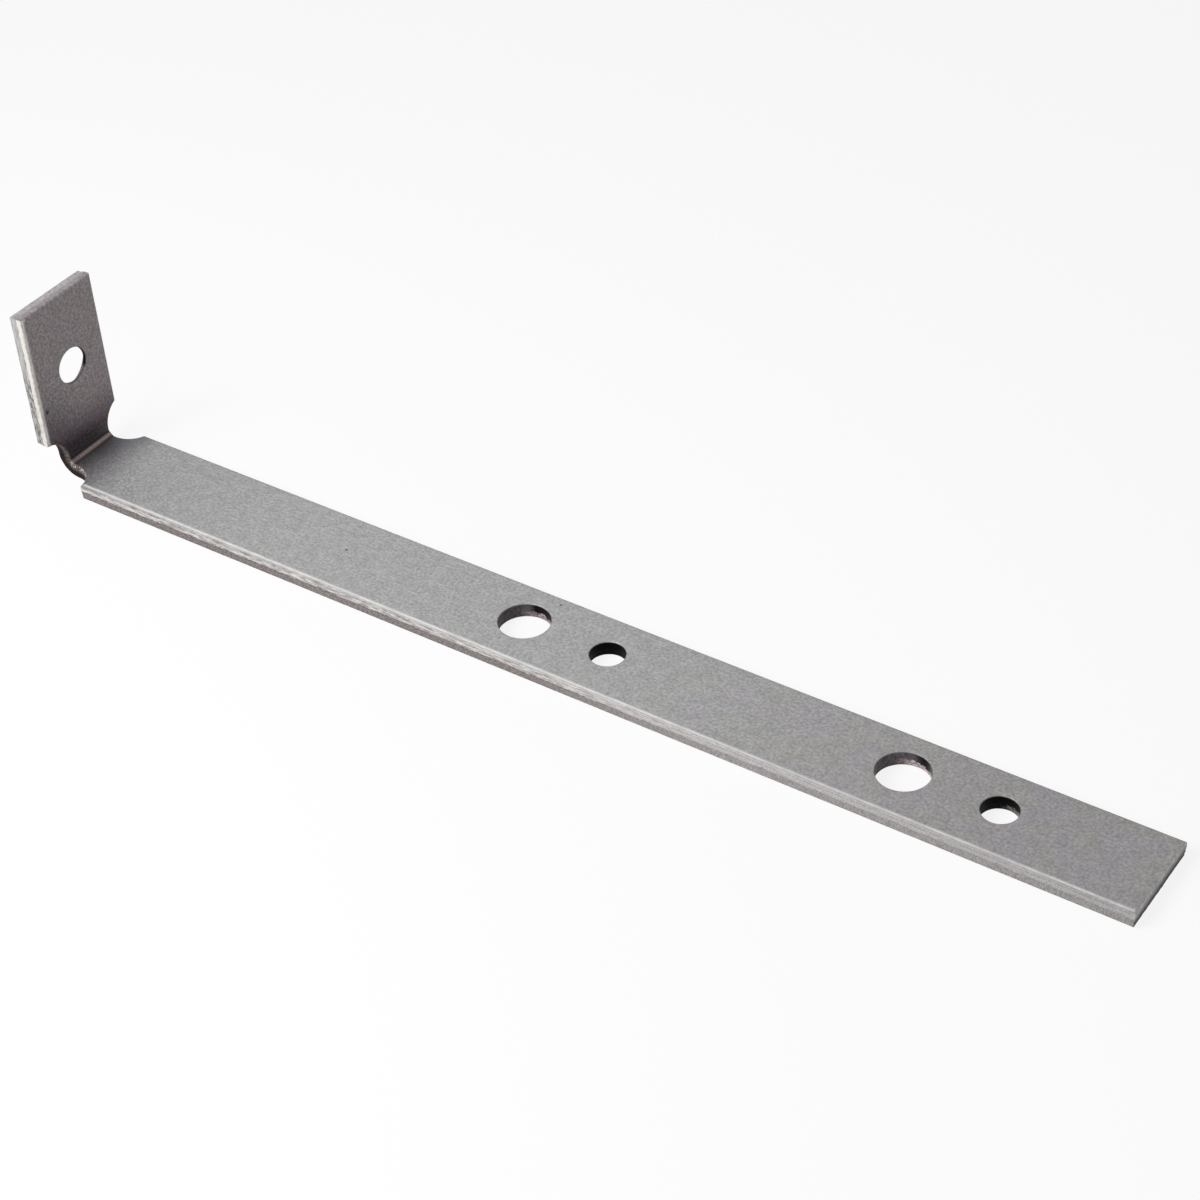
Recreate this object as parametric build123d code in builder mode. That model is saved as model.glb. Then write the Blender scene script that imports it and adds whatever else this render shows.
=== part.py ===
from build123d import *
from math import cos, radians, sin, tan
import os

# Window board tie: a flat steel strip, sheared to length, punched, and folded up at one end.
# Millimetres and degrees. The leg runs along +X and the tab rises from it. The origin is on the
# strip's centre line, where the planes of the leg's underside and of the tab's outer face meet.

# Strip
strip_width = 20.0
strip_thickness = 3.2
leg_length = 240.0
tab_length = 40.0

# Fold: the tab stands a little further open than square
bend_angle = 92.0
bend_inner_radius = 1.6

# Sheared edges: a rolled corner above, then an upright land, then a fracture that slopes inwards
roll_over = 0.35
fracture_height = 1.5
fracture_draft = 0.18

# Punched line: every hole and the neck lie this far off the strip's centre line
punch_offset = 0.8

# Leg holes, in two pairs of the same pitch. They are punched from above, so a rolled rim and an
# upright land lie over a breakout that widens to the underside
large_hole_radius = 5.0
small_hole_radius = 3.4
hole_pitch = 80.0
small_hole_from_end = 30.0
large_hole_from_end = 48.6
rim_roll_over = 0.25
breakout_height = 1.4
breakout_growth = 0.2

# Screw hole in the tab, punched from the inner face and countersunk from the outer one
screw_hole_radius = 3.8
countersink_radius = 6.2
countersink_angle = 90.0
screw_hole_height = 23.4

# Neck across the bend, between two notches with round ends
neck_width = 12.0
notch_radius = 5.3

# Places that follow from the sizes
lean = radians(bend_angle - 90)
bend_outer_radius = bend_inner_radius + strip_thickness
bend_start = bend_outer_radius * tan(radians(180 - bend_angle) / 2)
up_tab = Vector(-sin(lean), 0, cos(lean))
out_of_tab = Vector(-cos(lean), 0, -sin(lean))
top_of_tab = up_tab * tab_length
strip_section = Plane(origin=(leg_length, 0, 0), x_dir=(0, 1, 0), z_dir=(1, 0, 0))
leg_end = Plane(origin=(leg_length, 0, 0), x_dir=(1, 0, 0), z_dir=(0, -1, 0))
tab_end = Plane(origin=top_of_tab, x_dir=up_tab, z_dir=(0, 1, 0))
tab_face = Plane(origin=(0, 0, 0), x_dir=(0, -1, 0), z_dir=out_of_tab)
screw_hole_face = Plane(
    origin=up_tab * screw_hole_height + Vector(0, punch_offset, 0),
    x_dir=(0, -1, 0),
    z_dir=out_of_tab,
)

with BuildPart() as tie_strap:
    # Strip: its sheared section carried along the leg, round the bend and up the tab
    with BuildLine(Plane.XZ) as underside:
        FilletPolyline(
            (leg_length, 0),
            (0, 0),
            (top_of_tab.X, top_of_tab.Z),
            radius=bend_outer_radius,
        )
    with BuildSketch(strip_section) as section:
        half_width = strip_width / 2
        Polygon(
            (-half_width + fracture_draft, 0),
            (half_width - fracture_draft, 0),
            (half_width, fracture_height),
            (half_width, strip_thickness),
            (-half_width, strip_thickness),
            (-half_width, fracture_height),
            align=None,
        )
        fillet(section.vertices().group_by(Axis.Z)[-1], radius=roll_over)
    sweep(path=underside.wire())

    # Both ends are sheared in the same way as the long edges
    for end in (leg_end, tab_end):
        with BuildSketch(end):
            Polygon((0, 0), (0, fracture_height), (-fracture_draft, 0), align=None)
            with Locations((-roll_over, strip_thickness - roll_over)):
                Rectangle(roll_over, roll_over, align=Align.MIN)
                Circle(roll_over, mode=Mode.SUBTRACT)
        extrude(amount=strip_width / 2, both=True, mode=Mode.SUBTRACT)

    # Notches: a round end in the leg, a round end in the tab, and a straight neck round the bend
    for side in (1, -1):
        neck_edge = punch_offset + side * neck_width / 2
        notch_middle = neck_edge + side * notch_radius
        with BuildSketch():
            with Locations((bend_start, notch_middle)):
                Circle(notch_radius)
        extrude(amount=strip_thickness, mode=Mode.SUBTRACT)
        with BuildSketch(tab_face):
            with Locations((-notch_middle, bend_start)):
                Circle(notch_radius)
        extrude(amount=-strip_thickness, mode=Mode.SUBTRACT)
        with BuildSketch(Plane.XZ.offset(-neck_edge)):
            Polygon(
                (bend_start, 0),
                (bend_start, bend_outer_radius),
                (up_tab.X * bend_start, up_tab.Z * bend_start),
                (-bend_start, -bend_start),
                align=None,
            )
        extrude(amount=-side * strip_width, mode=Mode.SUBTRACT)

    # Leg holes
    for radius, from_end in (
        (large_hole_radius, large_hole_from_end),
        (small_hole_radius, small_hole_from_end),
    ):
        pair_x = leg_length - from_end - hole_pitch / 2
        with Locations((pair_x, punch_offset, strip_thickness)):
            with GridLocations(hole_pitch, 0, 2, 1):
                Hole(radius, depth=strip_thickness)
        fillet(tie_strap.edges(Select.LAST).group_by(Axis.Z)[-1], radius=rim_roll_over)
        with Locations((pair_x, punch_offset)):
            with GridLocations(hole_pitch, 0, 2, 1):
                Cone(
                    radius + breakout_growth,
                    radius,
                    breakout_height,
                    align=(Align.CENTER, Align.CENTER, Align.MIN),
                    mode=Mode.SUBTRACT,
                )

    # Screw hole, with its countersink open to the tab's outer face
    with Locations(screw_hole_face):
        CounterSinkHole(
            screw_hole_radius,
            countersink_radius,
            depth=strip_thickness,
            counter_sink_angle=countersink_angle,
        )
    inner_rim = tie_strap.edges(Select.LAST).sort_by(Axis((0, 0, 0), tuple(out_of_tab)))[0]
    fillet(inner_rim, radius=rim_roll_over)

tie_strap.part.label = "folded_strap"

os.makedirs("parts", exist_ok=True)
export_step(tie_strap.part, "parts/folded_strap.step")
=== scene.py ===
import math

import bpy
import numpy as np
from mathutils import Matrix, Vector, noise
from mathutils.geometry import delaunay_2d_cdt


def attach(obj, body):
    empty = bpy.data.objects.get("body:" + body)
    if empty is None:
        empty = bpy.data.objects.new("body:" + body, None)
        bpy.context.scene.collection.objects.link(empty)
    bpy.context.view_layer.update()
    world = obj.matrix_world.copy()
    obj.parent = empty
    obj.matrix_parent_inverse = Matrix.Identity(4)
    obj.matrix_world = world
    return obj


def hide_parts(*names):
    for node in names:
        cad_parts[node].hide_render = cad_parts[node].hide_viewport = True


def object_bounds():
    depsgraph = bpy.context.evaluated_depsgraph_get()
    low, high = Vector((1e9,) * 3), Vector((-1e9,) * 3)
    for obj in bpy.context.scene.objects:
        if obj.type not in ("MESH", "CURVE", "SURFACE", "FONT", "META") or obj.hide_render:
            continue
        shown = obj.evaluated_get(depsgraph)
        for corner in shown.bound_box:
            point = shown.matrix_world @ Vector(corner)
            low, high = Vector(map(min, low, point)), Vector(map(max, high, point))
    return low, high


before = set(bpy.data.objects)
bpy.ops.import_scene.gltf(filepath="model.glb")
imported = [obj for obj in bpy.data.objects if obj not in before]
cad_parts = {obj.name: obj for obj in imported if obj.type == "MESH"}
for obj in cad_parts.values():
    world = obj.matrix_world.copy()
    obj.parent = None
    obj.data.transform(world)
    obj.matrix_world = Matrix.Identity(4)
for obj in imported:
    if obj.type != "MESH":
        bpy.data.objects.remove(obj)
cad_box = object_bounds()

# The strap's sizes in millimetres, as in the CAD model
WIDTH = 20.0
THICK = 3.2
LEG = 240.0
TAB = 40.0
TURN = math.radians(88.0)
INNER_R = 1.6
OUTER_R = INNER_R + THICK
START = OUTER_R * math.tan(TURN / 2)
ARC = (INNER_R + THICK / 2) * TURN
LINE = 0.8
NECK = 12.0
NOTCH_R = 5.3
LARGE_R = 5.0
SMALL_R = 3.4
LEG_HOLES = ((111.4, LARGE_R), (130.0, SMALL_R), (191.4, LARGE_R), (210.0, SMALL_R))
TAB_HOLE_UP = 23.4
TAB_HOLE_R = 3.8
SINK_R = 6.2
SINK_LAND = 0.8
RIM_ROLL = 0.25
HOLE_LAND = 1.8
HOLE_GROWTH = 0.2
EDGE_GROWTH = 0.18

# Depth of the ragged line on the outer edges, 0.3 less than the CAD model's straight one
EDGE_LAND = 1.4

# Nearest points to a corner of the outline, along its straight sides and along the notches' arcs.
# They are far enough off that the insets of the drawn-down corner don't cross
EDGE_GAP = 1.4
NOTCH_GAP = 1.0

# The strap is drawn flat and then folded. u runs along it, from the tab's end to the leg's end,
# with the bend from -ARC to 0. y runs across it, and d is the depth below the upper face.
LEG_END = LEG - START
TAB_END = -ARC - (TAB - START)

# Place of the crease inside the bend, its ridge, and the groove on either side of the ridge
CREASE = -2.5
RIDGE_HEIGHT = 0.06
RIDGE_WIDTH = 0.45
GROOVE_DEPTH = 0.06
GROOVE_AWAY = 1.35
GROOVE_WIDTH = 0.4

# Corner that shearing draws down: inset and depth of its lines, how much each is wall and lies
# on the dark line, and how much painted highlight it carries on the leg and on the tab
CORNER = (
    (1.15, 0.000, 0.0, 0.0, (0.0, 0.0)),
    (0.92, 0.004, 0.0, 0.0, (0.5, 0.0)),
    (0.72, 0.012, 0.0, 0.0, (1.0, 0.3)),
    (0.54, 0.022, 0.0, 0.0, (1.0, 0.9)),
    (0.36, 0.040, 0.0, 0.1, (0.3, 1.0)),
    (0.20, 0.075, 0.3, 0.4, (0.0, 0.7)),
    (0.09, 0.140, 1.0, 0.6, (0.0, 0.0)),
    (0.03, 0.230, 1.0, 0.4, (0.0, 0.0)),
    (0.00, 0.360, 1.0, 0.0, (0.0, 0.0)),
)

# No tint, and the level of the leg's face and of the underside against the tab's inner face
UNTINTED = (1, 1, 1, 1)
LEG_LEVEL = 0.74

# Share of wall at each step of a hole's rolled rim
RIM_WALL = (0.0, 0.06, 0.25, 0.5, 0.8)

# How strongly the surroundings light the strap, how white the floor shows, and how far it lies
# under the strap in metres
SKY = 0.29
FLOOR_WHITE = 0.86
FLOOR_BELOW = 0.0002

# Dark specks and one wide smudge on the upper face: place, size, soft edge and strength
SPOTS = (
    ((64.6, 0.9, 0.0), 0.25, 0.35, 0.85),
    ((110.0, 8.2, 0.0), 0.2, 0.35, 0.85),
    ((-17.8, -8.4, 0.0), 0.45, 0.35, 0.85),
    ((-14.9, -8.5, 0.0), 0.2, 0.35, 0.6),
    ((-13.5, -9.0, 0.0), 1.0, 9.0, 0.35),
)


def fold(u, y, d):
    """Flat places to places on the folded strap, in metres."""
    lean = math.pi / 2 - TURN
    r = OUTER_R - THICK + d
    turn = np.clip(-u / ARC, 0, 1) * TURN
    up = np.maximum(-ARC - u, 0)
    x = START - r * np.sin(turn) + np.maximum(u, 0) - up * math.sin(lean)
    z = OUTER_R - r * np.cos(turn) + up * math.cos(lean)
    return np.stack([x, y, z], axis=-1) * 0.001


def wave(u, y, scale, seed):
    """A smooth random value near -1 to 1 that changes over 1 / scale millimetres."""
    place = Vector((u * scale + seed, y * scale, seed * 1.7))
    return noise.fractal(place, 1.0, 2.0, 3, noise_basis="PERLIN_ORIGINAL")


def straight(a, b, step, gap=EDGE_GAP):
    """Points from corner a towards corner b: a itself, and then none within gap of either."""
    a, b = np.array(a, float), np.array(b, float)
    length = np.linalg.norm(b - a)
    count = max(1, round((length - 2 * gap) / step))
    along = [0.0] + list(gap + (length - 2 * gap) * np.arange(count + 1) / count)
    return [tuple(a + (b - a) * s / length) for s in along]


def plain(a, b, step):
    """Evenly spaced points from a towards b, without b."""
    a, b = np.array(a, float), np.array(b, float)
    count = max(1, round(np.linalg.norm(b - a) / step))
    return [tuple(a + (b - a) * k / count) for k in range(count)]


def arc(centre, radius, start, end, step, gap_at_start=0.0, gap_at_end=0.0):
    """Points on an arc, without its end. A gap keeps all but an end point itself off a corner."""
    span = abs(end - start) * radius
    count = max(2, round((span - gap_at_start - gap_at_end) / step))
    inner = np.linspace(gap_at_start, span - gap_at_end, count + 1)
    along = ([0.0] if gap_at_start else []) + list(inner if gap_at_end else inner[:-1])
    turn = (end - start) / span
    return [
        (
            centre[0] + radius * math.cos(start + turn * s),
            centre[1] + radius * math.sin(start + turn * s),
        )
        for s in along
    ]


def outline(step=0.36, fine=0.3):
    """The strap's flat outline, anticlockwise, with its two notches."""
    half = WIDTH / 2
    far = LINE + NECK / 2 + NOTCH_R
    near = LINE - NECK / 2 - NOTCH_R
    a_far = math.asin((half - far) / NOTCH_R)
    a_near = math.asin((-half - near) / NOTCH_R)
    run_far = NOTCH_R * math.cos(a_far)
    run_near = NOTCH_R * math.cos(a_near)
    down = -math.pi / 2
    loop = straight((LEG_END, -half), (LEG_END, half), fine)
    loop += straight((LEG_END, half), (run_far, half), step)
    loop += arc((0, far), NOTCH_R, a_far, down, fine, gap_at_start=NOTCH_GAP)
    loop += plain((0, far - NOTCH_R), (-ARC, far - NOTCH_R), fine)
    loop += arc((-ARC, far), NOTCH_R, down, -math.pi - a_far, fine, gap_at_end=NOTCH_GAP)
    loop += straight((-ARC - run_far, half), (TAB_END, half), step)
    loop += straight((TAB_END, half), (TAB_END, -half), fine)
    loop += straight((TAB_END, -half), (-ARC - run_near, -half), step)
    loop += arc((-ARC, near), NOTCH_R, math.pi - a_near, math.pi / 2, fine, gap_at_start=NOTCH_GAP)
    loop += plain((-ARC, near + NOTCH_R), (0, near + NOTCH_R), fine)
    loop += arc((0, near), NOTCH_R, math.pi / 2, a_near, fine, gap_at_end=NOTCH_GAP)
    loop += straight((run_near, -half), (LEG_END, -half), step)
    return np.array(loop)


def circle(u, y, radius, step=0.26):
    """A hole's rim, clockwise, so that outward points into the hole."""
    count = round(2 * math.pi * radius / step)
    turn = -2 * math.pi * np.arange(count) / count
    return np.stack([u + radius * np.cos(turn), y + radius * np.sin(turn)], axis=1)


def outward(loop):
    """Mitred normals of a loop, to the right of its direction."""
    ahead = np.roll(loop, -1, axis=0) - loop
    ahead /= np.linalg.norm(ahead, axis=1, keepdims=True)
    normal = np.stack([ahead[:, 1], -ahead[:, 0]], axis=1)
    before = np.roll(normal, 1, axis=0)
    return (normal + before) / (1 + np.sum(normal * before, axis=1, keepdims=True))


class Ring:
    """One line along an edge: how far it is set into the steel, its depth, how far the edge's
    roughness moves it inwards and up or down, and what its surface is. rim is how much painted
    highlight the line carries on the leg and on the tab."""

    def __init__(
        self, inset, depth, rough=0.0, shift=0.0, wall=1.0, torn=0.0, seam=0.0, rim=(0.0, 0.0)
    ):
        self.inset, self.depth, self.rough, self.shift = inset, depth, rough, shift
        self.wall, self.torn, self.seam, self.rim = wall, torn, seam, rim


def rolled(width, drop, steps):
    """Rings of a hole's rolled rim, from the face to the wall."""
    rings = []
    for k in range(steps):
        t = math.pi / 2 * k / steps
        inset = width * (1 - math.sin(t))
        rings.append(Ring(inset, drop * (1 - math.cos(t)), wall=RIM_WALL[k]))
    return rings


def torn_off(land, growth):
    """Rings of a wall under its rolled corner: smooth as far as land, then torn."""
    first, torn_height = 0.07, THICK - 0.3 - land
    rings = [
        Ring(0.0, 0.80),
        Ring(0.0, 1.15, rough=0.1),
        Ring(0.01, land - 0.22, rough=0.2, shift=0.8),
        Ring(0.0, land - 0.05, rough=0.2, shift=1.0, seam=1.0),
        Ring(0.05, land + 0.05, rough=0.5, shift=1.0, torn=1.0, seam=1.0),
        Ring(first, land + 0.20, rough=0.8, shift=0.8, torn=1.0),
    ]
    for k in range(1, 4):
        t = k / 4
        inset = first + (growth - first) * t
        depth = land + 0.2 + torn_height * t
        rings.append(Ring(inset, depth, rough=1.0, shift=0.6 * (1 - t), torn=1.0))
    rings.append(Ring(growth, THICK - 0.07, rough=0.5, torn=1.0))
    rings.append(Ring(growth + 0.06, THICK, rough=0.3, wall=0.0))
    return rings


def edge_rings():
    """Outer edges: a thin dark line on the corner, with a painted highlight on the near edges, over
    the smooth land.
    """
    corner = [
        Ring(inset, depth, wall=wall, seam=seam, rim=rim)
        for inset, depth, wall, seam, rim in CORNER
    ]
    return corner + torn_off(EDGE_LAND, EDGE_GROWTH)


def hole_rings():
    """The leg's holes: a rolled rim and a smooth land over a torn breakout."""
    rim = rolled(RIM_ROLL, RIM_ROLL, 5) + [Ring(0.0, RIM_ROLL)]
    return rim + torn_off(HOLE_LAND, HOLE_GROWTH)


def sunk_rings():
    """The tab's hole: a short wall behind the inner face, and a countersink to the outer one."""
    rings = rolled(RIM_ROLL, RIM_ROLL, 4) + [Ring(0.0, RIM_ROLL), Ring(0.0, SINK_LAND)]
    steps = 6
    sink = THICK - SINK_LAND
    for k in range(1, steps + 1):
        t = k / steps * sink
        rings.append(Ring(t * (SINK_R - TAB_HOLE_R) / sink, SINK_LAND + t, rough=0.15))
    rings[-1].wall = 0.0
    return rings


class Shell:
    """Points of the strap in flat places, with what the material needs to know of each: wall
    is 1 on edges and in holes, torn is 1 below the ragged line, seam is 1 on the dark lines,
    hole, neck and end are 1 on the walls of those, the next gives how black a hole's wall is
    painted in place of shade and of the reflected dark hole floor, the next how pale painted
    light makes its torn zone, and rim is 1 on the painted highlight of the near edges' corner."""

    MASKS = ("wall", "torn", "seam", "hole", "neck", "end", "painted_dark", "lit_torn", "rim")

    def __init__(self):
        self.places = []
        self.masks = []
        self.faces = []

    def add(self, u, y, d, **masks):
        self.places.append((u, y, d))
        self.masks.append([masks.get(name, 0.0) for name in self.MASKS])
        return len(self.places) - 1

    def edge(self, loop, rings, ragged, tear, seed, kind):
        """Walls down one closed loop. Returns the loops of its first and last rings. kind
        gives the masks at a place and direction of the loop."""
        normal = outward(loop)
        made = []
        for ring in rings:
            line = []
            for (u, y), n in zip(loop, normal):
                slow = wave(u, y, 0.45, seed)
                quick = wave(u, y, 1.9, seed + ring.depth * 0.8)
                jag = wave(u, y, 1.3, seed + 5.0)
                inset = max(0.0, ring.inset + ring.rough * ragged * (0.9 * quick + 0.5 * slow))
                depth = ring.depth + ring.shift * tear * (0.7 * slow + 0.8 * jag)
                masks = {"wall": ring.wall, "torn": ring.torn, "seam": ring.seam}
                if ring.wall:
                    masks.update(kind(u, y, n))
                # The painted highlight on the corner goes on the near edges only
                on_near_edge = y < 0.01 - WIDTH / 2
                if on_near_edge:
                    on_leg, on_tab = ring.rim
                    masks["rim"] = on_tab if u < -ARC else on_leg
                line.append(self.add(u - n[0] * inset, y - n[1] * inset, depth, **masks))
            made.append(line)
        for above, below in zip(made, made[1:]):
            count = len(above)
            for a in range(count):
                b = (a + 1) % count
                self.faces.append((above[a], below[a], below[b], above[b]))
        return made[0], made[-1]

    def flat_ring(self, ring):
        return np.array([self.places[i][:2] for i in ring])

    def face(self, outer, inner, depth, up):
        """Fills between an outer loop and the holes' loops, with more points in the bend."""
        rings = [self.flat_ring(ring) for ring in [outer] + inner]
        points, edges, known = [], [], []
        for ids, ring in zip([outer] + inner, rings):
            first = len(points)
            points += [Vector(p) for p in ring]
            known += ids
            edges += [(first + k, first + (k + 1) % len(ids)) for k in range(len(ids))]
        # Fine lines across the neck, which bend and carry the ridge
        lines, across, past, margin = 56, 26, 2.0, 1.55
        low, high = LINE - NECK / 2 + margin, LINE + NECK / 2 - margin
        for u in np.linspace(-ARC - past, past, lines):
            first = len(points)
            points += [Vector((u, y)) for y in np.linspace(low, high, across)]
            edges += [(k, k + 1) for k in range(first, len(points) - 1)]
        # A coarse and slightly wavy grid over the flat stretches of the tab and the leg
        coarse, sway = 2.4, 0.3
        on_tab = np.arange(TAB_END + 2, -ARC - 3, coarse)
        on_leg = np.arange(3, LEG_END - 2, coarse)
        for u in np.append(on_tab, on_leg):
            for y in np.arange(-7.8, 8.0, coarse):
                y += sway * math.sin(u * 1.7)
                if inside(u, y, rings, margin=0.7):
                    points.append(Vector((u, y)))
        made = delaunay_2d_cdt(points, edges, [], 0, 1e-6)
        ids = []
        for place, origins in zip(made[0], made[3]):
            before = [o for o in origins if o < len(known)]
            ids.append(known[before[0]] if before else self.add(place[0], place[1], depth))
        for tri in made[2]:
            a, b, c = (made[0][k] for k in tri)
            middle_u = (a[0] + b[0] + c[0]) / 3
            middle_y = (a[1] + b[1] + c[1]) / 3
            if not inside(middle_u, middle_y, rings, margin=0.0):
                continue
            left = (b[0] - a[0]) * (c[1] - a[1]) > (b[1] - a[1]) * (c[0] - a[0])
            corners = [ids[k] for k in tri]
            self.faces.append(tuple(corners if left == up else reversed(corners)))


def within(u, y, ring):
    """Whether a place lies inside one closed loop."""
    p, q = ring, np.roll(ring, -1, axis=0)
    crosses = (p[:, 1] > y) != (q[:, 1] > y)
    rise = np.where(crosses, q[:, 1] - p[:, 1], 1.0)
    at = p[:, 0] + (y - p[:, 1]) * (q[:, 0] - p[:, 0]) / rise
    return bool(np.sum(crosses & (u < at)) % 2)


def inside(u, y, rings, margin):
    """Whether a place is steel, and at least margin from every edge."""
    if not within(u, y, rings[0]) or any(within(u, y, ring) for ring in rings[1:]):
        return False
    return not margin or min(np.min(np.hypot(*(ring - (u, y)).T)) for ring in rings) > margin


def edge_kind(u, y, n):
    """Cropped ends, the neck's walls, which fade in from the notch's corners, or plain edge."""
    if abs(n[0]) > 0.9 and (u > LEG_END - 1 or u < TAB_END + 1):
        return {"end": 1.0}
    fade = 0.8
    away = min(abs(y - WIDTH / 2), abs(y + WIDTH / 2))
    return {"neck": min(1.0, away / fade)} if abs(u + ARC / 2) < NOTCH_R + ARC else {}


def toward(n, u, y):
    """How nearly a place on a hole's wall lies in the direction (u, y) from its centre."""
    return -(n[0] * u + n[1] * y) / math.hypot(u, y)


def ramp(value, low, high):
    """0 below low, 1 above high, and even in between."""
    return min(1.0, max(0.0, (value - low) / (high - low)))


def large_kind(reach):
    """Painted black on the land of the far side, as a painted reflection of the shaded floor in the
    hole, with the torn zone next to it painted pale as painted light. The higher reach is, the
    shorter is the black stretch."""

    def kind(u, y, n):
        black = 0.95 * ramp(toward(n, 0.35, 1), reach, reach + 0.12)
        return {"hole": 1.0, "painted_dark": black, "lit_torn": ramp(toward(n, 0.45, 1), 0.35, 0.95)}

    return kind


def small_kind(share):
    """Black painted shade all round, with a torn zone painted pale as painted light by a share on
    one side.
    """

    def kind(u, y, n):
        return {"hole": 1.0, "painted_dark": 1.0, "lit_torn": share * ramp(toward(n, 0.8, 1), 0.4, 0.9)}

    return kind


def tab_kind(u, y, n):
    """The wall of the tab's hole has black painted shade only on its far side."""
    return {"hole": 0.4, "end": 1.0, "painted_dark": ramp(toward(n, -0.15, 1), 0.66, 0.84)}


def make_strap():
    shell = Shell()
    upper, lower = shell.edge(
        outline(), edge_rings(), ragged=0.08, tear=0.22, seed=3.1, kind=edge_kind
    )
    upper_holes, lower_holes = [], []
    kinds = (large_kind(0.74), small_kind(0.0), large_kind(0.88), small_kind(0.6))
    for k, ((x, radius), kind) in enumerate(zip(LEG_HOLES, kinds)):
        loop = circle(x - START, LINE, radius)
        seed = 11.3 + 5 * k
        a, b = shell.edge(loop, hole_rings(), ragged=0.06, tear=0.34, seed=seed, kind=kind)
        upper_holes.append(a)
        lower_holes.append(b)
    loop = circle(-ARC - (TAB_HOLE_UP - START), LINE, TAB_HOLE_R)
    a, b = shell.edge(loop, sunk_rings(), ragged=0.04, tear=0.0, seed=47.0, kind=tab_kind)
    upper_holes.append(a)
    lower_holes.append(b)
    shell.face(upper, upper_holes, 0.0, True)
    shell.face(lower, lower_holes, THICK, False)

    flat = np.array(shell.places)
    u, y, d = flat.T
    # The fold leaves a fine ridge across the inside of the bend, with a groove on either side
    away = u - CREASE
    ridge = RIDGE_HEIGHT * np.exp(-((away / RIDGE_WIDTH) ** 2))
    groove = GROOVE_DEPTH * np.exp(-(((np.abs(away) - GROOVE_AWAY) / GROOVE_WIDTH) ** 2))
    near_face = d < 0.3
    sunk = np.where(near_face, groove - ridge, 0)
    places = fold(u, y, d + sunk)

    mesh = bpy.data.meshes.new("tie_strap")
    mesh.from_pydata([tuple(p) for p in places], [], shell.faces)
    masks = np.array(shell.masks, np.float32)
    for k, name in enumerate(Shell.MASKS):
        layer = mesh.attributes.new(name, "FLOAT", "POINT")
        layer.data.foreach_set("value", np.ascontiguousarray(masks[:, k]))
    layer = mesh.attributes.new("flat", "FLOAT_VECTOR", "POINT")
    layer.data.foreach_set("vector", flat.astype(np.float32).ravel())
    mesh.validate()
    mesh.shade_smooth()
    mesh.set_sharp_from_angle(angle=math.radians(38))
    strap = bpy.data.objects.new("tie_strap", mesh)
    bpy.context.scene.collection.objects.link(strap)
    return strap


class Nodes:
    """Short calls for the nodes of a material or world. An input is a number, a colour or
    another output."""

    def __init__(self, owner):
        self.owner = owner
        owner.use_nodes = True
        self.tree = owner.node_tree
        self.tree.nodes.clear()

    def node(self, kind, inputs=(), **settings):
        made = self.tree.nodes.new(kind)
        for key, value in settings.items():
            setattr(made, key, value)
        for key, value in dict(inputs).items():
            socket = made.inputs[key]
            if isinstance(value, bpy.types.NodeSocket):
                self.tree.links.new(value, socket)
            else:
                socket.default_value = value
        return made

    def attribute(self, name, output="Fac"):
        return self.node("ShaderNodeAttribute", attribute_name=name).outputs[output]

    def math(self, operation, a, b=0.5, c=0.5):
        return self.node("ShaderNodeMath", {0: a, 1: b, 2: c}, operation=operation).outputs[0]

    def noise(self, vector, scale, detail=3.0, rough=0.55):
        inputs = {"Vector": vector, "Scale": scale, "Detail": detail, "Roughness": rough}
        return self.node("ShaderNodeTexNoise", inputs).outputs["Fac"]

    def range(self, value, low, high, to_low=0.0, to_high=1.0):
        inputs = {0: value, 1: low, 2: high, 3: to_low, 4: to_high}
        return self.node("ShaderNodeMapRange", inputs, interpolation_type="SMOOTHSTEP").outputs[0]

    def stretched(self, vector, scale):
        inputs = {0: vector, 1: scale}
        return self.node("ShaderNodeVectorMath", inputs, operation="MULTIPLY").outputs[0]

    def mix(self, share, a, b, blend="MIX"):
        inputs = {0: share, 6: a, 7: b}
        made = self.node("ShaderNodeMix", data_type="RGBA", blend_type=blend)
        for key, value in inputs.items():
            if isinstance(value, bpy.types.NodeSocket):
                self.tree.links.new(value, made.inputs[key])
            else:
                made.inputs[key].default_value = value
        return made.outputs[2]

    def seen(self):
        """1 for what the camera sees, directly or in a reflection, and 0 for what lights."""
        path = self.node("ShaderNodeLightPath").outputs
        seen = self.math("MAXIMUM", path["Is Camera Ray"], path["Is Glossy Ray"])
        return self.math("MAXIMUM", seen, path["Is Transmission Ray"])

    def tinted(self, colour, tint):
        return self.mix(1.0, colour, tint, "MULTIPLY")

    def times(self, colour, share):
        """A colour made darker or lighter by a number."""
        inputs = {0: colour, "Scale": share}
        return self.node("ShaderNodeVectorMath", inputs, operation="SCALE").outputs[0]


def grey(value, warm=0.0):
    return (value * (1 + warm), value, value * (1 - warm), 1.0)


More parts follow.
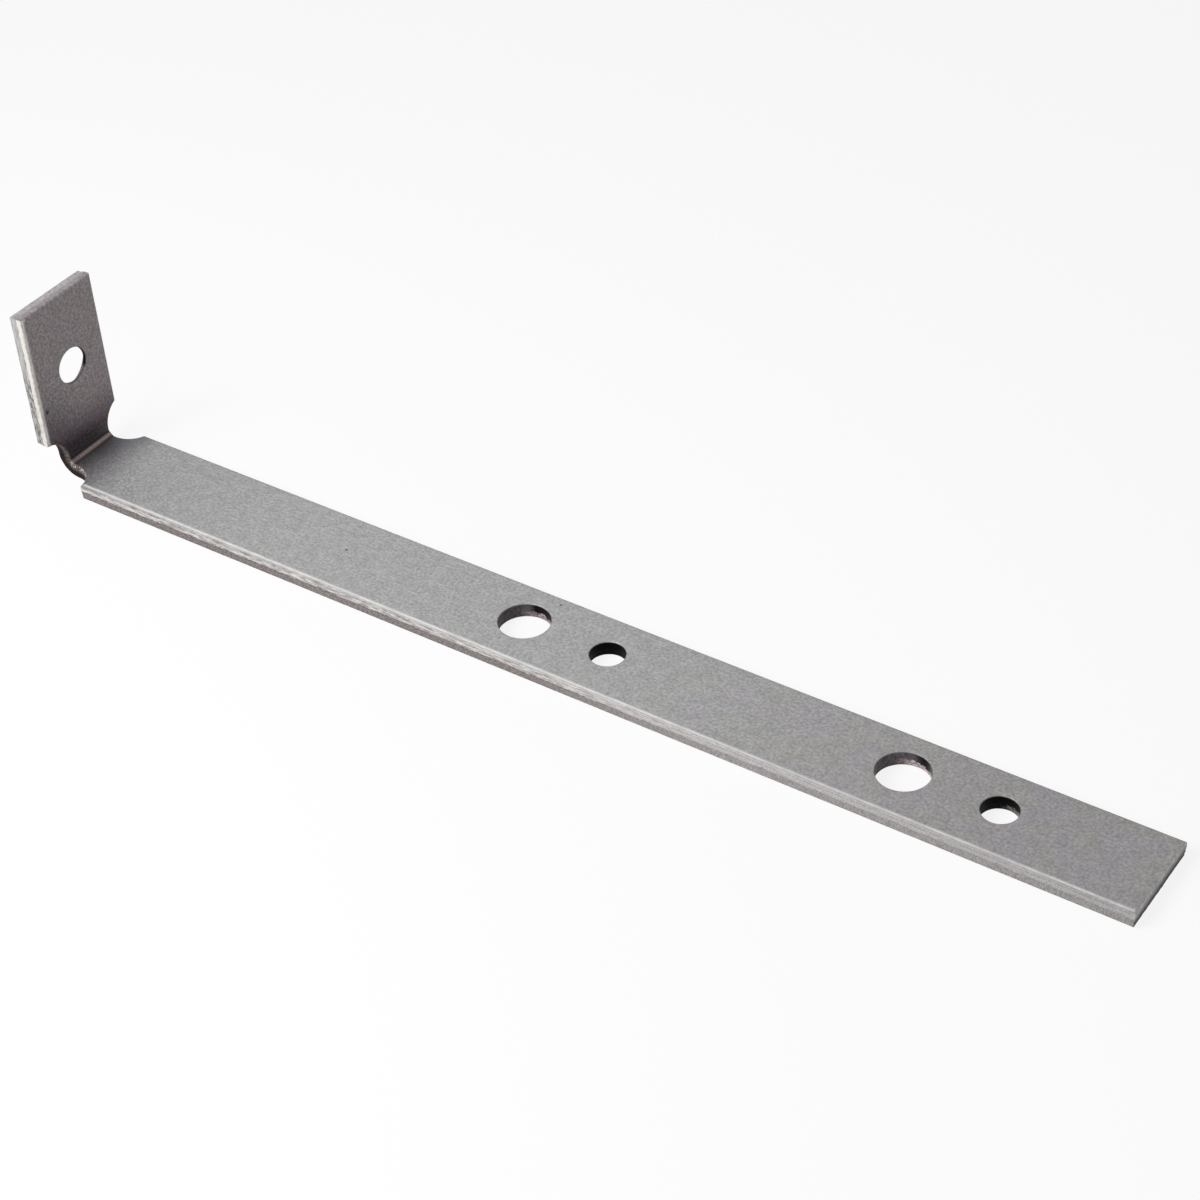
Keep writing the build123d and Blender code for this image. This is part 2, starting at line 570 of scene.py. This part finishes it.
class Steel(Nodes):
    """The strap's material, with what its parts share: the flat places, the masks, random
    values at several scales, and how nearly a place is on the tab or on the underside."""

    def __init__(self):
        super().__init__(bpy.data.materials.new("strip_steel"))
        self.flat = self.attribute("flat", "Vector")
        self.u, self.across, self.depth = self.node("ShaderNodeSeparateXYZ", {0: self.flat}).outputs
        self.mask = {name: self.attribute(name) for name in Shell.MASKS}
        # The long edges keep their own look until close to the corners of the cropped ends
        self.mask["end"] = self.range(self.mask["end"], 0.8, 1.0)
        self.pale = self.range(self.u, -4.0, -8.0)
        self.under = self.range(self.depth, 1.0, 2.6)

        self.grain = self.noise(self.flat, 1.7, 3.0, 0.62)
        self.blotch = self.noise(self.flat, 0.42, 3.0, 0.6)
        self.fleck = self.noise(self.flat, 2.4, 3.0, 0.65)
        self.drag = self.noise(self.stretched(self.flat, (1.0, 1.0, 0.35)), 2.6, 4.0, 0.68)
        self.streak = self.noise(self.stretched(self.flat, (0.16, 0.16, 1.3)), 2.4, 4.0, 0.62)
        self.speck = self.noise(self.stretched(self.flat, (1.6, 1.0, 0.5)), 3.0, 3.0, 0.65)
        self.pits = self.noise(self.stretched(self.flat, (0.7, 0.7, 1.0)), 2.6, 4.0, 0.7)


def rolled_skin(n):
    """Rolled faces: mottled at three scales, tinted towards the free end and on the tab, and with
    painted fall-off of the lamp's light towards the free end.
    """
    cloud = n.noise(n.flat, 0.13, 1.0, 0.5)
    skin = n.mix(n.range(n.grain, 0.33, 0.67), grey(0.41), grey(0.62))
    skin = n.times(skin, n.range(n.blotch, 0.32, 0.68, 0.93, 1.07))
    drift = n.mix(n.range(cloud, 0.40, 0.60), (1.035, 0.985, 1.03, 1), (1.01, 0.995, 0.965, 1))
    on_leg = n.mix(n.range(n.u, 110.0, 220.0, 0.25, 1.0), UNTINTED, drift)
    on_tab = n.mix(0.4, drift, (1.09, 0.97, 0.975, 1))
    skin = n.tinted(skin, n.mix(n.pale, on_leg, on_tab))
    # Painted fall-off of the lamp's light: darker towards the free end
    skin = n.times(skin, n.range(n.u, 120.0, 215.0, 1.0, 0.83))
    for place, size, spread, share in SPOTS:
        away = n.node("ShaderNodeVectorMath", {0: n.flat, 1: place}, operation="DISTANCE")
        away = n.math("MULTIPLY_ADD", n.grain, 0.3, away.outputs["Value"])
        skin = n.mix(n.range(away, size, size + spread, share, 0.0), skin, grey(0.03, 0.1))
    return skin


def bend_shade_and_dirt(n):
    """From nearly 0 inside the bend to 1 away from it: painted shade of the bend and of the tab's
    shadow over the leg, with some dirt, and painted shade over the whole of the tab's inner face.
    """
    fade = n.range(n.u, 5.0, 60.0, 0.88, 1.0)
    on_leg = n.math("MULTIPLY", n.range(n.u, -1.5, 12.5, 0.14, 0.86), fade)
    # Painted shade over the tab's inner face, which faces away from the lamp
    on_tab = n.range(n.u, -3.5, -17.0, 0.05, 0.43)
    return n.math("MAXIMUM", n.math("MAXIMUM", on_leg, on_tab), n.under)


def crease_share(n, from_crease):
    """1 on the ridge across the inside of the bend, with a flecked border."""
    crease = n.range(n.math("MULTIPLY_ADD", n.fleck, 0.5, from_crease), 0.4, 1.4, 1.0, 0.0)
    return n.math("MULTIPLY", crease, n.range(n.depth, 1.0, 1.2, 1.0, 0.0))


def face_with_shade_and_dirt(n, skin, lit_and_clean, crease, from_crease):
    """The faces with the painted shade and dirt of the bend and the tab, its dark grooves and its
    brownish ridge.
    """
    lines = n.range(n.math("ABSOLUTE", n.math("ADD", from_crease, -1.3)), 0.2, 0.8, 0.5, 1.0)
    lines = n.math("MAXIMUM", lines, n.under)
    on_tab = n.range(n.u, -4.0, -1.0, 1.0, LEG_LEVEL)
    level = n.math("MINIMUM", on_tab, n.range(n.depth, 1.0, 2.6, 1.0, LEG_LEVEL))
    # Painted shade and dirt of the bend and the tab, and the dark grooves
    face = n.times(n.times(skin, level), n.math("MULTIPLY", lit_and_clean, lines))
    coarse = n.math("MULTIPLY", n.pale, n.range(n.depth, 1.0, 0.5))
    face = n.mix(coarse, face, n.times(face, n.range(n.grain, 0.35, 0.65, 0.86, 1.14)))

    brown_to_blue = n.mix(n.range(n.u, -0.5, 1.0), (1.10, 0.95, 0.92, 1), (1.0, 0.97, 1.05, 1))
    over_crease = n.range(n.u, CREASE - 0.5, CREASE + 0.5)
    stain = n.mix(over_crease, (1.05, 0.975, 0.99, 1), brown_to_blue)
    face = n.tinted(face, n.mix(n.range(lit_and_clean, 0.7, 0.3), UNTINTED, stain))
    murk = n.mix(n.range(n.blotch, 0.42, 0.58), (1.15, 0.97, 0.95, 1), (0.88, 0.88, 1.05, 1))
    murky = n.math("MULTIPLY", n.pale, n.range(lit_and_clean, 0.5, 0.2))
    face = n.tinted(face, n.mix(murky, UNTINTED, murk))

    ridge = n.mix(n.range(n.fleck, 0.4, 0.6), (0.14, 0.10, 0.095, 1), (0.28, 0.225, 0.215, 1))
    ridge = n.times(ridge, n.range(n.across, -6.0, -1.0, 0.5, 1.0))
    return n.mix(crease, face, ridge)


def cream_land(n):
    """The cream colour of the tab's sheared land."""
    return n.mix(n.range(n.streak, 0.34, 0.54), (0.54, 0.515, 0.49, 1), (0.66, 0.63, 0.595, 1))


def sheared_land(n, cream):
    """Sheared land: bright, with streaks along the edge. It is cream-coloured on the tab, and
    duller and plainer towards the free end."""
    dim, bright = (0.265, 0.244, 0.233, 1), (0.595, 0.573, 0.557, 1)
    fresh = n.mix(n.range(n.streak, 0.38, 0.60), dim, bright)
    fresh = n.times(fresh, n.range(n.drag, 0.35, 0.65, 0.88, 1.12))
    fresh = n.times(fresh, n.range(n.u, 85.0, 120.0, 1.0, 1.09))
    dim, bright = (0.345, 0.330, 0.328, 1), (0.525, 0.504, 0.499, 1)
    even = n.mix(n.range(n.speck, 0.34, 0.66), dim, bright)
    even = n.times(even, n.range(n.streak, 0.34, 0.66, 0.94, 1.06))
    land = n.mix(n.range(n.u, 100.0, 165.0), fresh, even)
    land = n.times(land, n.range(n.u, 150.0, 235.0, 1.0, 0.88))
    land = n.times(land, n.range(n.depth, 0.1, 0.55, 0.55, 1.0))
    return n.mix(n.pale, land, cream)


def torn_zone(n):
    """Torn zone: rough, pinkish and pitted, less so towards the free end, and pale on the tab."""
    tear = n.mix(n.range(n.pits, 0.34, 0.62), (0.100, 0.084, 0.084, 1), (0.275, 0.243, 0.238, 1))
    tear = n.times(tear, n.range(n.u, 35.0, 75.0, 0.88, 1.0))
    far = n.mix(n.range(n.speck, 0.34, 0.66), (0.225, 0.212, 0.211, 1), (0.39, 0.368, 0.363, 1))
    tear = n.mix(n.range(n.u, 105.0, 165.0), tear, far)
    chalk = n.mix(n.range(n.streak, 0.36, 0.6), grey(0.27, 0.02), grey(0.42, 0.01))
    chalk = n.times(chalk, n.range(n.u, -14.0, -26.0, 0.86, 1.0))
    return n.mix(n.pale, tear, chalk)


def sheared_wall(n, cream):
    """Land over torn zone, with broken dark lines between them and dark pits on the tab's edge,
    most of them low down and in its torn zone."""
    torn = n.mask["torn"]
    side = n.mix(torn, sheared_land(n, cream), torn_zone(n))
    gaps = n.range(n.noise(n.flat, 1.3, 3.0, 0.65), 0.38, 0.58, 0.1, 0.8)
    broken = n.math("MULTIPLY", n.mask["seam"], gaps)
    fade = n.math("MAXIMUM", n.range(n.u, 80.0, 130.0, 1.0, 0.25), n.mask["hole"])
    side = n.mix(n.math("MULTIPLY", broken, fade), side, grey(0.06, 0.12))

    scar = n.noise(n.stretched(n.flat, (0.45, 1.0, 1.0)), 1.5, 3.0, 0.7)
    scar = n.range(scar, 0.44, 0.52, 1.0, 0.0)
    scar = n.math("MULTIPLY", scar, n.math("MULTIPLY_ADD", torn, 0.6, 0.2))
    scar = n.math("MULTIPLY", scar, n.range(n.u, -30.0, -22.0))
    return n.mix(n.math("MULTIPLY", scar, n.pale), side, grey(0.08, 0.1))


def neck_flecks(n):
    """Where the pale broken line inside the neck's wall shows."""
    pick = n.math("MULTIPLY", n.range(n.fleck, 0.46, 0.62), n.range(n.depth, 0.5, 2.0, 1.0, 0.0))
    return n.math("MULTIPLY", pick, n.range(n.u, CREASE - 1.5, CREASE + 0.5, 0.4, 1.0))


def neck_wall(n, pick):
    """Neck: dark brown, nearly black at the outside, with a pale broken line inside."""
    inner, outer = (0.075, 0.058, 0.050, 1), (0.022, 0.014, 0.013, 1)
    return n.mix(pick, n.mix(n.range(n.depth, 0.8, 2.0), inner, outer), (0.46, 0.39, 0.37, 1))


def cropped_end(n, skin):
    """Cropped ends: mottled like the faces, darker at the bottom of the leg's end and in the
    tab's hole."""
    low = n.math("MAXIMUM", n.range(n.depth, 0.0, 2.3, 1.0, 0.08), n.range(n.u, 20.0, 0.0))
    crop = n.times(n.times(skin, low), n.range(n.u, 0.0, 20.0, 0.47, 1.12))
    crop = n.times(crop, n.range(n.mask["hole"], 0.0, 0.4, 1.0, 0.5))
    return n.times(crop, n.math("MULTIPLY_ADD", n.mask["torn"], 0.3, 1.0))


def hole_wall(n):
    """Holes: a nearly black land over a torn zone that is brown, and pink where painted light falls
    on it.
    """
    rough = n.range(n.pits, 0.36, 0.64)
    bore = n.mix(n.range(n.drag, 0.3, 0.7), (0.030, 0.027, 0.031, 1), (0.105, 0.095, 0.108, 1))
    brown = n.mix(rough, (0.030, 0.022, 0.021, 1), (0.11, 0.088, 0.086, 1))
    pink = n.mix(rough, (0.15, 0.115, 0.115, 1), (0.48, 0.41, 0.41, 1))
    bore = n.mix(n.mask["torn"], bore, n.mix(n.mask["lit_torn"], brown, pink))
    return n.times(bore, n.range(n.u, 150.0, 170.0, 1.0, 1.4))


def painted_dark_share(n):
    """Painted shade in the holes, left out in patches where the torn zone is painted pale."""
    patches = n.range(n.noise(n.flat, 1.1, 3.0, 0.6), 0.42, 0.5)
    clear = n.math("MAXIMUM", patches, n.range(n.depth, 2.2, 2.7))
    clear = n.math("MULTIPLY", n.math("MULTIPLY", n.mask["torn"], n.mask["lit_torn"]), clear)
    return n.math("MULTIPLY", n.mask["painted_dark"], n.math("SUBTRACT", 1.0, clear))


def black_share(n, pick, lit_and_clean, crease):
    """The dark outside of the neck and the inside of the bend, dark with painted shade, which
    reflect very little.
    """
    black = n.math("MULTIPLY", n.mask["neck"], n.range(n.depth, 0.4, 1.6, 0.3, 1.0))
    black = n.math("MULTIPLY", black, n.math("SUBTRACT", 1.0, pick))
    deep_shade = n.math("MULTIPLY", n.range(lit_and_clean, 0.3, 0.1), n.math("SUBTRACT", 1.0, crease))
    deep_shade = n.math("MULTIPLY", deep_shade, n.range(n.u, 0.0, -3.8))
    return n.math("MAXIMUM", black, deep_shade)


def painted_corner_highlight(n, cream):
    """Painted highlight along the near edges' corner, cream on the tab and dimmer towards the free
    end.
    """
    highlight_colour = n.mix(n.range(n.streak, 0.34, 0.60), grey(0.54, 0.01), grey(0.65, 0.01))
    return n.times(n.mix(n.pale, highlight_colour, cream), n.range(n.u, 140.0, 160.0, 1.0, 0.9))


def roughness(n):
    """Smoother on the land than on torn, cropped and punched walls."""
    mask = n.mask
    dull = n.math("MAXIMUM", mask["torn"], mask["hole"])
    dull = n.math("MAXIMUM", dull, n.math("MAXIMUM", mask["neck"], mask["end"]))
    inputs = {
        0: mask["wall"],
        2: n.range(n.grain, 0.25, 0.75, 0.50, 0.64),
        3: n.math("MULTIPLY_ADD", dull, 0.20, 0.50),
    }
    return n.node("ShaderNodeMix", inputs, data_type="FLOAT").outputs[0]


def relief(n):
    """Fine grain of the faces and deeper pits in the torn zones, as a bump."""
    fine = n.noise(n.flat, 5.0, 3.0, 0.6)
    height = n.math("MULTIPLY_ADD", fine, 0.5, n.grain)
    pitted = n.math("MULTIPLY", n.pits, n.mask["torn"])
    height = n.math("MULTIPLY_ADD", pitted, 2.0, height)
    inputs = {"Strength": 0.4, "Distance": 0.00008, "Height": height}
    return n.node("ShaderNodeBump", inputs).outputs[0]


def steel_material():
    n = Steel()
    from_crease = n.math("ABSOLUTE", n.math("ADD", n.u, -CREASE))
    skin = rolled_skin(n)
    lit_and_clean = bend_shade_and_dirt(n)
    crease = crease_share(n, from_crease)
    cream = cream_land(n)
    pick = neck_flecks(n)
    painted_dark = painted_dark_share(n)

    side = sheared_wall(n, cream)
    side = n.mix(n.mask["neck"], side, neck_wall(n, pick))
    side = n.mix(n.mask["end"], side, cropped_end(n, skin))
    side = n.mix(n.range(n.mask["hole"], 0.4, 1.0), side, hole_wall(n))
    # Near black on the holes' walls: painted shade, and on the leg holes' far land a painted
    # reflection of the shaded floor
    side = n.mix(painted_dark, side, grey(0.004, 0.1))
    face = face_with_shade_and_dirt(n, skin, lit_and_clean, crease, from_crease)
    # Painted highlight along the near edges' corner
    face = n.mix(n.mask["rim"], face, painted_corner_highlight(n, cream))

    # Fully metallic where painted shade darkens the holes and the bend, and on the neck's dark
    # outside
    black = n.math("MAXIMUM", painted_dark, black_share(n, pick, lit_and_clean, crease))
    inputs = {
        "Base Color": n.mix(n.mask["wall"], face, side),
        "Roughness": roughness(n),
        "Metallic": n.math("MULTIPLY_ADD", black, 0.6, 0.4),
        "Normal": relief(n),
    }
    shader = n.node("ShaderNodeBsdfPrincipled", inputs)
    n.node("ShaderNodeOutputMaterial", {"Surface": shader.outputs[0]})
    return n.owner


def floor_material():
    """Pale floor that shows white where nothing shades it."""
    n = Nodes(bpy.data.materials.new("pale_floor"))
    diffuse = n.node("ShaderNodeBsdfDiffuse", {"Color": (0.75, 0.75, 0.75, 1)})
    white = n.node("ShaderNodeEmission", {"Color": (1, 1, 1, 1), "Strength": 1.0})
    share = n.math("MULTIPLY", n.seen(), FLOOR_WHITE)
    mixed = n.node("ShaderNodeMixShader", {0: share, 1: diffuse.outputs[0], 2: white.outputs[0]})
    n.node("ShaderNodeOutputMaterial", {"Surface": mixed.outputs[0]})
    return n.owner


def area_light(name, place, target, size, power):
    data = bpy.data.lights.new(name, "AREA")
    data.shape = "DISK"
    data.size = size
    data.energy = power
    lamp = bpy.data.objects.new(name, data)
    lamp.location = place
    lamp.rotation_euler = (Vector(target) - Vector(place)).to_track_quat("-Z", "Y").to_euler()
    bpy.context.scene.collection.objects.link(lamp)


def make_floor():
    reach = 3.0
    corners = [(-reach, -reach, 0), (reach, -reach, 0), (reach, reach, 0), (-reach, reach, 0)]
    mesh = bpy.data.meshes.new("floor")
    mesh.from_pydata(corners, [], [(0, 1, 2, 3)])
    mesh.materials.append(floor_material())
    floor = bpy.data.objects.new("floor", mesh)
    floor.location = (0.1, 0, cad_box[0][2] - FLOOR_BELOW)
    bpy.context.scene.collection.objects.link(floor)
    return floor


def make_world():
    """Soft light from all round, which shows white."""
    n = Nodes(bpy.data.worlds.new("studio"))
    strength = n.math("MULTIPLY_ADD", n.seen(), 1 - SKY, SKY)
    sky = n.node("ShaderNodeBackground", {"Color": (1, 1, 1, 1), "Strength": strength})
    n.node("ShaderNodeOutputWorld", {"Surface": sky.outputs[0]})
    bpy.context.scene.world = n.owner


def make_camera():
    data = bpy.data.cameras.new("camera")
    data.sensor_width = 36.0
    data.lens = 85.031
    data.shift_x = 0.025
    data.shift_y = -0.1
    camera = bpy.data.objects.new("camera", data)
    camera.location = (0.361907, -0.323826, 0.336725)
    camera.rotation_euler = [math.radians(a) for a in (53.599616, 2.782498, 34.203735)]
    bpy.context.scene.collection.objects.link(camera)
    bpy.context.scene.camera = camera


strap = make_strap()
strap.data.materials.append(steel_material())
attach(strap, "root")
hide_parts("folded_strap")

make_floor()
area_light("key", place=(-0.03, -0.30, 0.34), target=(0.07, 0, 0), size=0.3, power=2.75)
make_world()
make_camera()
bpy.context.scene.view_settings.view_transform = "Standard"
